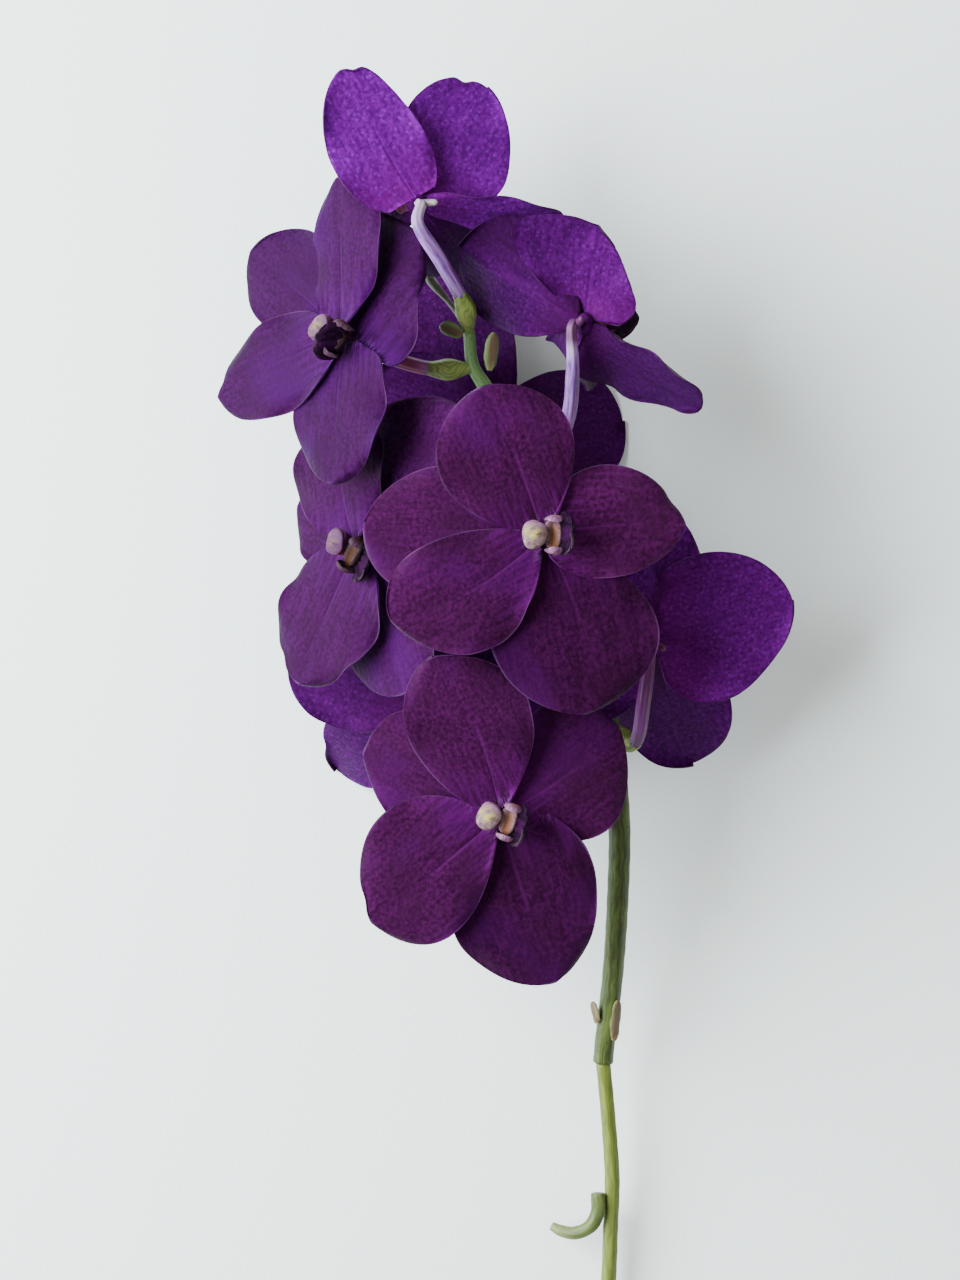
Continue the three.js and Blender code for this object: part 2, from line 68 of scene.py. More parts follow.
# How a blade looks where its maker says nothing. Its outline opens at its foot as claw
# says and closes at its tip as blunt says. One half of it is wider by lean and has its
# widest place nearer its foot by skew. Sway bends its midrib sideways, uneven is the share
# by which its outline varies, and notches are nicks: place along, side, depth and reach.
# Off its plane, tilt twists it by degrees, bow arches it, fold bends its halves back,
# roll its margins, wave and frill ruffle them, and crease and ridge run along it.
PLAIN_BLADE = dict(
    claw=0.64, blunt=0.5, lean=0, skew=0, sway=0, uneven=0, notches=(), tilt=0, bow=0, fold=0, roll=0,
    wave=0, frill=0, crease=0, ridge=0, ridges=3, part=0, tone=1, hue=0, dark_half=(0, 1),
)
TEPAL_FORM = dict(
    rows=54, columns=36, thickness=0.8, margin=0.45, wave=1.1, roll=0.9, crease=0.35, frill=0.45,
    uneven=0.02,
)
TONGUE_FORM = dict(
    rows=40, columns=36, width=11.9, thickness=1.44, margin=0.45, claw=0.4, ridge=0.35, ridges=5,
    roll=0.9, frill=0.5, notches=[(0.99, 0, 1.1, 1.4)],
)
LOBE_FORM = dict(rows=28, columns=24, width=5.6, margin=0.3, claw=0.3, bow=-0.7, roll=-1.1, frill=0.3)
SCALE_FORM = dict(rows=30, columns=20, thickness=0.9, margin=0.3, roll=0.5, frill=0.2)

PETAL_LIFT = 1.35
DORSAL_LIFT = -1.3
LATERAL_LIFTS = (0, -1.3)
HEART_RADIUS = 3.2
HEART_HALF_HEIGHT = 1.8

MIDDLE_GAP = 0.95
COLUMN_LENGTH = 6.5
COLUMN_RADIUS = 3.3
COLUMN_LEAN = 2.5
THROAT_AT = 0.52
CAP_GROOVE_AT = 0.7
CAP_START = 0.8

# The lip's places are forward of the disc, towards the lip from LIP_FOOT, and sideways.
LIP_FOOT = 4.8
TONGUE_FOOT = (0.6, -0.3, 0)
TONGUE_TIP = (11, 4.5, 0)
PAD_SIZE = (2.7, 4.4, 2.5)
PAD_PLACE = (2, -2.1, 0.3)
LOBE_THICKNESSES = {1: 0.63, -1: 0.98}
LOBE_START = (0.3, -1.4, 3.956)
LOBE_END = (6, -2, 4.416)

STALK_RADIUS = 1.9
STALK_FOOT_RADIUS = 1.5
STALK_BULGE = 1.3
STALK_RIBS = 6
RIB_DEPTH = 0.07
RIB_TWIST = 0.035
GREEN_FOOT_LENGTH = 13
FOOT_OVERLAP = 0.4
STRAIGHT_END = 3

# The spur starts clear of the stalk, and its bends are shares of its length: back from
# the bloom, and towards the lip.
SPUR_LENGTH = 5.5
SPUR_RADIUS = 1.2
SPUR_CLEARANCE = 0.4
SPUR_SHIFT = 0.8
SPUR_BENDS = ((0, 0), (0.2, 0.4), (0.5, 0.65))

# Each piece, the back of each blade and the ends of tubes take other layers of the skins'
# textures, by these steps along their third axis.
BLADE_LAYER = 97
BACK_LAYER = 13
TUBE_LAYER = 31
END_LAYER = 5

# The first seed of each kind of piece that has seeds of its own.
COLUMN_SEED = 60
TONGUE_SEED = 200
LOBE_SEED = 220
SCALE_SEED = 300

# Between which shares of its length a stalk turns violet, where it does so not at all or
# everywhere.
NEVER_VIOLET = (1, 2)
ALL_VIOLET = (-2, -1)


def tepal(tip, width, **bends):
    """A tepal's tip and width, and its bends."""
    return {"tip": tip, "width": width, **bends}


BLOOMS = {
    "centre": {
        "heart": (17, 29.5, 84),
        "facing": (0.12, -0.02, 1),
        "lip": (1, 0),
        "tongue": (27, 30, 95),
        "dorsal": tepal((-32.6, 31.3, 80), 35.6, bow=1, blunt=0.54, sway=0.2, skew=0.11),
        "petals": [
            tepal((0.4, 70.8, 90), 37.6, bow=2, claw=0.84, blunt=0.62, lean=-0.09, sway=0.9),
            tepal((-25.1, 5.9, 87), 32.9, bow=2, claw=0.85, blunt=0.62, sway=-3.7, skew=-0.03),
        ],
        "laterals": [
            tepal((57.4, 32.6, 77), 30.4, bow=1, claw=0.51, blunt=0.62, lean=-0.07, sway=-1.1),
            tepal((30, -20.6, 77), 46, bow=1, claw=0.85, blunt=0.62, lean=0.08, sway=-4, skew=0.14),
        ],
        "stalk": [(24, 20, 43), (20, 24, 58), (17.5, 28, 72)],
    },
    "bottom": {
        "heart": (5.5, -49, 64),
        "facing": (-0.05, -0.12, 1),
        "lip": (1, -0.3),
        "tongue": (13.4, -53.5, 74),
        "dorsal": tepal((-32.6, -31.4, 57), 33.2, bow=1, blunt=0.55, skew=-0.35),
        "petals": [
            tepal((-13.4, -4.8, 74), 34.6, bow=1, claw=0.9, blunt=0.66, lean=-0.04, sway=3.3),
            tepal((-30.2, -79.2, 59), 38, bow=2, claw=0.85, blunt=0.62, lean=0.12, skew=0.15),
        ],
        "laterals": [
            tepal((38.9, -24.5, 56), 38.3, bow=2, claw=0.9, blunt=0.66, sway=1.7, skew=0.1),
            tepal((20.9, -95.9, 50), 42, bow=2, claw=0.52, blunt=0.58, sway=0.7, skew=-0.12),
        ],
        "stalk": [(38.5, -50, 33), (28, -50, 42), (13, -49.5, 52)],
    },
    "left": {
        "heart": (-34, 26, 52),
        "facing": (-0.6, -0.05, 0.8),
        "lip": (1, -0.6),
        "tongue": (-31.5, 19, 62),
        "dorsal": tepal((-51, 37.6, 36), 27.3, blunt=0.52, lean=0.03, sway=0.2, skew=-0.08),
        "petals": [
            tepal((-39.6, 62.9, 56), 32.7, claw=0.85, blunt=0.6, lean=-0.05, sway=-2.2, skew=-0.15),
            tepal((-50.9, -12.2, 44), 34.5, claw=0.59, blunt=0.6, lean=-0.02, sway=0.3, skew=-0.06),
        ],
        "laterals": [
            tepal((-6.3, 65.3, 66), 38.6, blunt=0.54, lean=-0.07, sway=-0.7, skew=-0.09),
            tepal((-21.3, -15.1, 54), 33.9, skew=-0.03),
        ],
        "stalk": [(14, 44, 44), (-6, 34, 43), (-24, 27.5, 44)],
    },
    "upper_left": {
        "heart": (-38.5, 85, 62),
        "facing": (-0.6, 0.12, 0.8),
        "lip": (1, -0.6),
        "tongue": (-46.5, 83, 72),
        "dorsal": tepal((-64.3, 108.3, 40), 30.3, claw=0.61, lean=0.08, sway=0.8),
        "petals": [
            tepal((-40, 129.4, 54.5), 23.9, claw=0.7, blunt=0.57, lean=0.14, sway=1, skew=-0.09),
            tepal((-73.5, 68, 42), 27.7, claw=0.59, blunt=0.6, lean=-0.04, sway=1, skew=0.06),
        ],
        "laterals": [
            tepal((-41.8, 43.9, 67), 31.2, claw=0.56, blunt=0.58, lean=-0.03, skew=0.04),
            tepal((-16.7, 113.6, 64), 46.5, claw=0.55, blunt=0.66, lean=-0.1, sway=-1.6, skew=0.45),
        ],
        "stalk": [(-2, 76, 49), (-14, 76, 50), (-30, 81, 54)],
    },
    "upper_right": {
        "heart": (29, 88.5, 66),
        "facing": (0.6, 0.1, -0.75),
        "lip": (1, 0.35),
        "dorsal": tepal((-5.4, 110.3, 52), 33, bow=-1, claw=0.9, blunt=0.54, fold=-0.4),
        "petals": [
            tepal((33.5, 117.7, 70), 36.4, tilt=-32, blunt=0.66, lean=0.26, sway=0.7, skew=-0.6),
            tepal((35, 78, 32), 17, bow=-9),
        ],
        "laterals": [
            tepal((62, 65, 78), 26, tilt=-35, claw=0.55, blunt=0.57, lean=-0.22, sway=-1.1, skew=-0.5),
            tepal((44, 90, 32), 20, bow=-8),
        ],
        "stalk": [(15, 46, 45), (24, 60, 55), (26, 76, 66)],
    },
    "top": {
        "heart": (-17.5, 122.5, 62),
        "facing": (-0.2, 0.25, -0.9),
        "lip": (1, 0.2),
        "lip_gap": 1.6,
        "dorsal": tepal((-38.1, 160.4, 70), 26.8, claw=0.38, blunt=0.54, lean=0.12, sway=1),
        "petals": [
            tepal((1.7, 154.6, 54), 34.3, claw=0.56, blunt=0.57, lean=-0.02, sway=-1, skew=-0.1),
            tepal((-36, 121, 36), 16, bow=-3),
        ],
        "laterals": [
            tepal((-3, 105, 22), 16, bow=-6),
            tepal((23.2, 118.7, 48), 11.9, tilt=-31, blunt=0.55, lean=-0.04, sway=-0.5, skew=0.09),
        ],
        "stalk": [(-3, 86, 50), (-4.5, 94, 55), (-11, 106, 64), (-17.5, 117, 70)],
    },
    "right": {
        "heart": (47, 0, 48),
        "facing": (-0.12, 0.1, -1),
        "lip": (1, -0.5),
        "dorsal": tepal((29, 22, 51), 26),
        "petals": [
            tepal((51.7, 35.3, 40), 27.2, blunt=0.53, skew=-0.11),
            tepal((22.5, -17, 50), 26),
        ],
        "laterals": [
            tepal((87.2, 11.4, 44), 41.6, claw=0.39, blunt=0.57, lean=-0.05, sway=-0.2, skew=-0.07),
            tepal((59.7, -34.1, 20), 33.2, tilt=-17, claw=0.61, blunt=0.54, skew=0.05),
        ],
        "stalk": [(36.5, -24, 38), (43, -29, 46), (46, -16, 56)],
    },
    "lower_left": {
        "heart": (-15.5, -17, 28),
        "facing": (-0.05, 0.15, -1),
        "lip": (0.8, -0.6),
        "lip_gap": 1.9,
        "dorsal": tepal((-53.5, -7.9, 20), 26.4, claw=0.66, blunt=0.54, sway=0.3, skew=0.04),
        "petals": [
            tepal((4, 6, 22), 28),
            tepal((-40, -36, 0.1), 27, bow=-4.5, claw=0.61, blunt=0.58, lean=-0.08, sway=-1, skew=-0.1),
        ],
        "laterals": [
            tepal((22, -24, 20), 28),
            tepal((-17, -42, 16), 24),
        ],
        "stalk": [(31, 0, 42), (14, -10, 42), (-6, -16, 36)],
    },
    "back": {
        "heart": (5.5, 58, 18),
        "facing": (0.05, 0.05, -1),
        "lip": (1, -0.2),
        "lip_gap": 1.1,
        "dorsal": tepal((-29.5, 73, 10), 28),
        "petals": [
            tepal((-14.6, 100.1, 0), 34.7, bow=-1.5, claw=0.68, skew=0.14),
            tepal((-14, 28, 10), 28),
        ],
        "laterals": [
            tepal((39.6, 61.3, 0), 35.4, bow=-1.5, claw=0.55, blunt=0.47, sway=-1.3, skew=0.11),
            tepal((24, 22, 12), 26),
        ],
        "stalk": [(8, 59.5, 46), (5, 58, 36), (5.5, 58, 28)],
    },
}

# How light each tepal is: the dorsal sepal, the two laterals and the two petals. Besides the tepals' own
# lightness these numbers hold painted shade and painted light: tepals that lie in shade are darkened, and
# the left bloom's first lateral, which lies in a cast shadow, is lightened. The last number is the bloom's
# hue, from 1 for the bluest violet to -1 for the reddest.
TONES_AND_PAINTED_SHADE = {
    "centre": (1, 1.6, 0.86, 1.1, 1.05, 0),
    "bottom": (0.95, 1.3, 0.86, 1.02, 1.02, 0.1),
    "left": (0.78, 1.3, 0.95, 0.8, 0.76, 0.6),
    "upper_left": (0.7, 0.67, 0.7, 0.85, 0.75, 0.9),
    "upper_right": (0.52, 0.36, 0.8, 0.98, 0.8, 0.05),
    "top": (1.65, 0.7, 1.7, 1.95, 0.7, 0.3),
    "right": (0.8, 1.25, 0.8, 1.1, 0.8, -0.2),
    "lower_left": (0.52, 0.6, 0.6, 0.6, 0.6, -0.2),
    "back": (0.6, 0.62, 0.6, 0.62, 0.6, -0.3),
}

# Painted shade: tepals whose one half is darkened where it lies in shadow, under a neighbouring tepal's
# edge and where the half turns from the light: which one, how much, and on which side of its midrib.
PAINTED_SHADE_HALVES = {"upper_right": {0: (0.6, -1), 3: (0.45, 1)}}

# How cream the column is, and how light the lip's lobes and pad are, where that isn't 1.
MIDDLE_TONES = {"left": (0.12, 0.2), "upper_left": (0.35, 0.35), "upper_right": (0.2, 0.4)}

# Small nicks in the margins, and bulges where the depth is below 0: which tepal, the
# share of its length, which side of its midrib, the depth and the reach.
NICKS = {
    "centre": {4: [(0.6, -1, 1.2, 3.5), (0.3, -1, 0.8, 3)], 1: [(0.93, -1, 0.7, 3)]},
    "bottom": {3: [(0.5, 1, 1, 4)], 4: [(0.95, 1, 0.7, 3.2)]},
    "left": {4: [(0.39, 1, 0.9, 3), (0.91, 1, 1, 3), (0.75, -1, 1, 4)]},
    "upper_left": {
        1: [(0.22, -1, -2.6, 5)],
        2: [(0.645, 1, 1, 6), (0.1, 1, -2.4, 5)],
        4: [(0.965, 1, 1.2, 3)],
    },
    "upper_right": {3: [(0.987, -1, 1.6, 5)]},
    "top": {
        0: [(0.99, -1, 1.5, 2.2)],
        1: [(0.45, -1, -4, 6), (0.15, -1, -2, 4)],
        3: [(0.962, 1, 1.3, 2.2)],
        4: [(0.15, 1, -2, 4)],
    },
    "lower_left": {4: [(0.87, -1, 1.1, 3)]},
    "back": {3: [(0.97, -1, -4.5, 7)]},
}

# Between which shares of its length a stalk turns violet.
STALK_VIOLET = {"upper_left": (0.2, 0.5), "upper_right": (0.8, 0.88), "right": (-1.6, 0.6)}

# Stems: where each of their points is seen, its height and the radius there.
GREEN_STEM = [
    (-3, 86, 50, 1.6),
    (-2, 77, 49, 1.8),
    (2, 70, 48, 2.1),
    (11, 53, 46, 2.3),
    (22.5, 28, 43.5, 2.5),
    (31, 0, 41, 2.7),
    (37, -28, 38, 2.9),
    (39, -50.5, 34, 3.1),
    (38.5, -73, 30, 3.1),
    (37, -95, 25, 3),
    (35, -112, 20.5, 2.9),
    (34.5, -118, 19, 2.9),
]
PALE_STEM = [
    (34.5, -118, 19, 2.1),
    (36, -134.5, 15, 2.1),
    (37, -151, 11.5, 2.2),
    (36.5, -165, 9, 2.2),
    (36, -179, 7, 2.2),
    (34, -207, 4, 2.2),
    (33, -224, 2, 2.2),
]
SIDE_SHOOT = [
    (33, -155, 12.6, 2),
    (33, -160, 12.2, 2.1),
    (31, -164, 11.2, 2),
    (26.5, -166, 9.4, 1.9),
    (22.5, -165.3, 8.2, 1.7),
    (20, -164, 7.6, 1.2),
]
WITHERED_TIP = [
    (-3, 86, 49.4, 0.8),
    (-5, 89.5, 44, 0.8),
    (-9, 95, 39.5, 0.8),
    (-12, 98.5, 38, 1.3),
    (-13.8, 100.8, 37, 1.4),
    (-15, 102.6, 36.8, 0.8),
]

# Scales: where the foot and the tip are seen, the width and the tilt.
SCALES = {
    "small_bud_scale": ((-4.6, 85.4, 51), (-11, 88, 53), 4.5, 30),
    "large_bud_scale": ((2.6, 75, 50.6), (4, 86, 52), 4.4, -30),
    "broken_leaf_scale": ((33, -107.5, 24.3), (31.3, -101.5, 25), 3.4, 60),
    "brown_leaf_scale": ((37.4, -112.5, 23.2), (38.8, -101, 26.9), 4, -45),
}


def unit(vector):
    return vector / np.linalg.norm(vector)


def smoothstep(value, low, high):
    """From 0 at low to 1 at high, and held past both."""
    share = np.clip((value - low) / (high - low), 0, 1)
    return share * share * (3 - 2 * share)


def hump(value, middle, width):
    """1 at the middle, and about a third at the width on both sides of it."""
    return np.exp(-(((value - middle) / width) ** 2))


def spot(place):
    """Where a place seen on the seen plane lies at its own height."""
    x, y, z = place
    nearer = (EYE_HEIGHT - z) / (EYE_HEIGHT - SEEN_PLANE)
    return np.array((x * nearer - FOOTPRINT_CENTRE[0], y * nearer - FOOTPRINT_CENTRE[1], z))


def in_scene(name, data):
    """A new object that shows the data."""
    made = bpy.data.objects.new(name, data)
    bpy.context.scene.collection.objects.link(made)
    return made


class Surface:
    """Points, faces and point values of a mesh that grows part by part."""

    def __init__(self):
        self.points = []
        self.faces = []
        self.values = {}
        self.count = 0

    def add(self, points, faces, **values):
        """Adds a part, with one value for each point or one for them all."""
        span = slice(self.count, self.count + len(points))
        self.faces += [[corner + self.count for corner in face] for face in faces]
        for name, given in values.items():
            self.values.setdefault(name, []).append((span, np.asarray(given, dtype=float)))
        self.points.append(points)
        self.count += len(points)

    def keep_value(self, mesh, name, parts):
        """Stores a value of the points in the mesh, as 0 where a part has none."""
        wide = parts[0][1].ndim == 2
        kind, field, width = ("FLOAT_VECTOR", "vector", 3) if wide else ("FLOAT", "value", 1)
        whole = np.zeros((self.count, width))
        for span, given in parts:
            whole[span] = given.reshape(-1, width)
        mesh.attributes.new(name, kind, "POINT").data.foreach_set(field, whole.ravel())

    def piece(self, name, material, node):
        """Makes the mesh an object, which takes the place of a node of the CAD model."""
        mesh = bpy.data.meshes.new(name)
        mesh.from_pydata(np.vstack(self.points) * MM, [], self.faces)
        for value_name, parts in self.values.items():
            self.keep_value(mesh, value_name, parts)
        mesh.materials.append(material)
        mesh.shade_smooth()
        made = in_scene(name, mesh)
        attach(made, "root")
        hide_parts(node)


def ripples(seed, waves, *coordinates):
    """A smooth uneven height from a few seeded waves, about 1 high at most."""
    rng = np.random.default_rng(seed)
    height = 0
    for _ in range(5):
        turn = rng.uniform(0, 2 * math.pi)
        height += np.sin(sum(rng.uniform(-waves, waves) * each for each in coordinates) + turn)
    return height / 4


def grid_faces(rows, columns, start=0, flip=False, closed=False):
    """Quads between the points of a grid, whose columns may close into a ring."""
    wide = columns if closed else columns + 1
    here = start + np.arange((rows + 1) * wide).reshape(rows + 1, wide)
    after = np.roll(here, -1, axis=1)
    faces = np.stack([here[:-1], after[:-1], after[1:], here[1:]], axis=-1)[:, :columns].reshape(-1, 4)
    return (faces[:, ::-1] if flip else faces).tolist()


def round_grid(levels, sides):
    """A level and an angle for each point of stacked rings."""
    angles = np.linspace(0, 2 * math.pi, sides, endpoint=False)
    return np.meshgrid(levels, angles, indexing="ij")


def ring_faces(rows, sides):
    """Faces of stacked rings and of two fans, whose middles come last of the points."""
    faces = grid_faces(rows, sides, closed=True)
    first = (rows + 1) * sides
    for i in range(sides):
        after = (i + 1) % sides
        faces.append([first, after, i])
        faces.append([first + 1, rows * sides + i, rows * sides + after])
    return faces


def blade_faces(rows, columns):
    """Faces of a blade's front, of its back and of the rim between them."""
    size = (rows + 1) * (columns + 1)
    faces = grid_faces(rows, columns) + grid_faces(rows, columns, size, flip=True)
    grid = np.arange(size).reshape(rows + 1, columns + 1)
    rim = np.concatenate([grid[:, 0], grid[-1, 1:], grid[-2::-1, -1], grid[0, -2:0:-1]]).tolist()
    for here, after in zip(rim, rim[1:] + rim[:1]):
        faces.append([here + size, after + size, after, here])
    return faces


def half_width(form, share, side):
    """Half a blade's width at a share of its length, on either side of its midrib."""
    claw, blunt = form.claw * (1 - form.skew * side), form.blunt * (1 + form.skew * side)
    widest = claw / (claw + blunt)
    return form.width / 2 * (share / widest) ** claw * ((1 - share) / (1 - widest)) ** blunt


def flat_form(form, share, side):
    """Where a blade's points lie along it and sideways, before it bends."""
    half = half_width(form, share, side)
    uneven = form.uneven * ripples(form.seed, 9, share, np.sign(side) * 2) * np.abs(side)
    sideways = side * half * (1 + form.lean * side + uneven) + form.sway * 4 * share * (1 - share)
    along = form.length * share
    for notch_share, notch_side, depth, reach in form.notches:
        at_along = form.length * notch_share
        at_side = notch_side * half_width(form, notch_share, notch_side) * (1 + form.lean * notch_side)
        from_middle = np.array((at_along - NOTCH_CENTRE * form.length, at_side))
        inward = -unit(from_middle)
        near = np.exp(-((along - at_along) ** 2 + (sideways - at_side) ** 2) / reach**2)
        along += inward[0] * depth * near
        sideways += inward[1] * depth * near
    return along, sideways


def lift_of(form, share, side):
    """How far a blade's points stand off its plane."""
    lift = form.bow * 4 * share * (1 - share) - form.fold * np.abs(side) * half_width(form, share, side)
    lift += form.wave * side**4 * np.sin(2 * math.pi * MARGIN_WAVES * share + side)
    lift -= form.roll * np.abs(side) ** 3 * smoothstep(share, 0.1, 0.5)
    lift -= form.crease * hump(side, 0, MIDRIB_WIDTH) * (1 - share) ** 0.5
    lift += form.frill * side**6 * ripples(form.seed + 1, 22, share, side)
    return lift + form.ridge * np.cos(form.ridges * math.pi * side) * (1 - share)


def thickened(form, middle, share, side):
    """The points of a blade's two faces, thin at the margin and held off the floor."""
    normal = np.cross(np.gradient(middle, axis=1), np.gradient(middle, axis=0))
    normal /= np.maximum(np.linalg.norm(normal, axis=2, keepdims=True), 1e-9)
    normal[-1] = normal[-2, normal.shape[1] // 2]
    outward = np.maximum(np.abs(side), (share - CLAW_START) / (1 - CLAW_START))
    body = np.clip(1 - outward**EDGE_SHARPNESS, 0, 1)
    thick = form.margin + (form.thickness - form.margin) * body
    levels = []
    for level in (1, -1):
        points = middle + normal * (level * thick / 2)[..., None]
        upper = (level * normal[..., 2]).mean() > 0
        lowest = FLOOR_CLEARANCE + (PRESSED_THICKNESS if upper else 0)
        points[..., 2] = np.maximum(points[..., 2], lowest)
        levels.append(points.reshape(-1, 3))
    return np.vstack(levels)


def blade(surface, base, tip, facing, rows, columns, **bends):
    """Adds a tepal, lobe or scale: a bent middle surface, thickened along its normals."""
    form = SimpleNamespace(**{**PLAIN_BLADE, **bends})
    form.length = np.linalg.norm(tip - base)
    axis = unit(tip - base)
    flat = unit(facing - axis * facing.dot(axis))
    across = np.cross(axis, flat)
    steps = np.linspace(0, 1, rows + 1)
    shares = 1 - (1 - CLAW_START) * (1 - steps) ** 3 * (1 + 1.5 * steps)
    sides = np.sin(np.linspace(-1, 1, columns + 1) * math.pi / 2)
    share, side = np.meshgrid(shares, sides, indexing="ij")
    along, sideways = flat_form(form, share, side)
    lift = lift_of(form, share, side)
    turn = math.radians(form.tilt) * smoothstep(share, 0, TWIST_END)
    middle = (
        base
        + along[..., None] * axis
        + (sideways * np.cos(turn) - lift * np.sin(turn))[..., None] * across
        + (sideways * np.sin(turn) + lift * np.cos(turn))[..., None] * flat
    )
    # Painted shade: the tepal's shaded half is darkened through its tone.
    shade_depth, shaded_side = form.dark_half
    tone = form.tone * (1 - shade_depth * smoothstep(shaded_side * side, -0.1, 0.6))
    layer = np.full_like(along, BLADE_LAYER * form.seed)
    place = np.stack([along, sideways, layer], axis=-1).reshape(-1, 3)
    surface.add(
        thickened(form, middle, share, side),
        blade_faces(rows, columns),
        share=np.tile(share.ravel(), 2),
        side=np.tile(side.ravel(), 2),
        front=np.repeat([1, 0], share.size),
        place=np.vstack([place, place + (0, 0, BACK_LAYER)]),
        part=form.part,
        tone=np.tile(tone.ravel(), 2),
        hue=form.hue,
    )


def curve_through(points, steps=24):
    """Places and control shares along a centripetal Catmull-Rom curve."""
    points = [np.asarray(point, dtype=float) for point in points]
    padded = [2 * points[0] - points[1]] + points + [2 * points[-1] - points[-2]]
    places, shares = [], []
    spans = len(points) - 1
    for span in range(spans):
        p0, p1, p2, p3 = padded[span : span + 4]
        t1 = np.linalg.norm(p1 - p0) ** 0.5
        t2 = t1 + np.linalg.norm(p2 - p1) ** 0.5
        t3 = t2 + np.linalg.norm(p3 - p2) ** 0.5
        for step in range(steps + (span == spans - 1)):
            t = t1 + (t2 - t1) * step / steps
            a1 = (t1 - t) / t1 * p0 + t / t1 * p1
            a2 = (t2 - t) / (t2 - t1) * p1 + (t - t1) / (t2 - t1) * p2
            a3 = (t3 - t) / (t3 - t2) * p2 + (t - t2) / (t3 - t2) * p3
            b1 = (t2 - t) / t2 * a1 + t / t2 * a2
            b2 = (t3 - t) / (t3 - t1) * a2 + (t - t1) / (t3 - t1) * a3
            places.append((t2 - t) / (t2 - t1) * b1 + (t - t1) / (t2 - t1) * b2)
            shares.append((span + step / steps) / spans)
    return np.array(places), np.array(shares)


def curve_length(places):
    """The distance of each place from the first, along the curve."""
    return np.concatenate([[0], np.cumsum(np.linalg.norm(np.diff(places, axis=0), axis=1))])


def along_curve(points, step_length, start, end):
    """Evenly spaced places on a curve, their distances, control shares and frames."""
    places, shares = curve_through(points)
    lengths = curve_length(places)
    total = lengths[-1]
    count = max(math.ceil((total - start - end) / step_length), 2)
    wanted = np.linspace(start, total - end, count + 1)
    line = np.stack([np.interp(wanted, lengths, places[:, i]) for i in range(3)], axis=1)
    control = np.interp(wanted, lengths, shares)
    tangents = np.gradient(line, axis=0)
    tangents /= np.linalg.norm(tangents, axis=1, keepdims=True)
    normals = []
    normal = np.cross(tangents[0], (0.3, 0.2, 1))
    for tangent in tangents:
        normal = unit(normal - tangent * normal.dot(tangent))
        normals.append(normal)
    return line, wanted, total, control, np.array(normals), np.cross(tangents, normals)


def tube(surface, points, radius_at, sides, step, start=0, end=0, part=0, seed=0, violet=NEVER_VIOLET):
    """Adds a closed tube whose radius is a function of distance, total, share and angle."""
    line, wanted, total, control, normals, binormals = along_curve(points, step, start, end)
    distance, angle = round_grid(wanted, sides)
    radius = radius_at(distance, total, control[:, None], angle)
    rings = (
        line[:, None, :]
        + (radius * np.cos(angle))[..., None] * normals[:, None, :]
        + (radius * np.sin(angle))[..., None] * binormals[:, None, :]
    )
    rings[..., 2] = np.maximum(rings[..., 2], FLOOR_CLEARANCE)
    place = np.stack([distance, radius * angle, np.full_like(distance, TUBE_LAYER * seed)], axis=-1)
    end_places = [[wanted[0], 0, END_LAYER], [wanted[-1], 0, END_LAYER]]
    shares = np.append((distance / total).ravel(), [start / total, 1])
    surface.add(
        np.vstack([rings.reshape(-1, 3), line[:1], line[-1:]]),
        ring_faces(len(wanted) - 1, sides),
        share=shares,
        place=np.vstack([place.reshape(-1, 3), end_places]),
        part=part,
        violet=smoothstep(shares, *violet),
    )


def frame_of(bloom):
    """A bloom's heart, the way it faces, the way its lip hangs and its side."""
    heart = spot(bloom["heart"])
    facing = unit(np.array(bloom["facing"], dtype=float))
    hang = np.array((*bloom["lip"], 0), dtype=float)
    hang = unit(hang - facing * hang.dot(facing))
    side = np.cross(facing, hang)
    return heart, facing, hang, side


def at(bloom, forward, towards_lip, sideways):
    """A place in a bloom, measured from its heart."""
    heart, facing, hang, side = frame_of(bloom)
    return heart + facing * forward + hang * towards_lip + side * sideways


def tepals(name, bloom, number):
    """A bloom's five tepals and the disc that they grow from."""
    surface = Surface()
    facing = frame_of(bloom)[1]
    shapes = [(bloom["dorsal"], DORSAL_LIFT)]
    shapes += list(zip(bloom["laterals"], LATERAL_LIFTS))
    shapes += [(petal, PETAL_LIFT) for petal in bloom["petals"]]
    *tones, hue = TONES_AND_PAINTED_SHADE[name]
    for i, (shape, lift) in enumerate(shapes):
        bends = dict(TEPAL_FORM, seed=10 * number + i, tone=tones[i], hue=hue, **shape)
        bends["dark_half"] = PAINTED_SHADE_HALVES.get(name, {}).get(i, (0, 1))
        bends["notches"] = NICKS.get(name, {}).get(i, ())
        blade(surface, at(bloom, lift, 0, 0), spot(bends.pop("tip")), facing, **bends)
    disc(surface, bloom)
    surface.piece(f"{name}_petals_and_sepals", PETAL_VIOLET, f"{name}_bloom_tepals")


def disc(surface, bloom):
    """The small cushion in the middle that the tepals grow from."""
    heart, facing, hang, side = frame_of(bloom)
    rows, sides = 10, 24
    slope, angle = round_grid(np.linspace(0, math.pi, rows + 1), sides)
    out = HEART_RADIUS * np.sin(slope) ** 0.6
    up = HEART_HALF_HEIGHT * np.cos(slope)
    local = np.stack([out * np.cos(angle), out * np.sin(angle), up], axis=-1).reshape(-1, 3)
    around = local @ np.array([hang, side, facing])
    surface.add(
        heart + around,
        grid_faces(rows, sides, closed=True, flip=True),
        share=0.05,
        front=local[:, 2] >= 0,
        place=around,
        tone=0.6,
    )


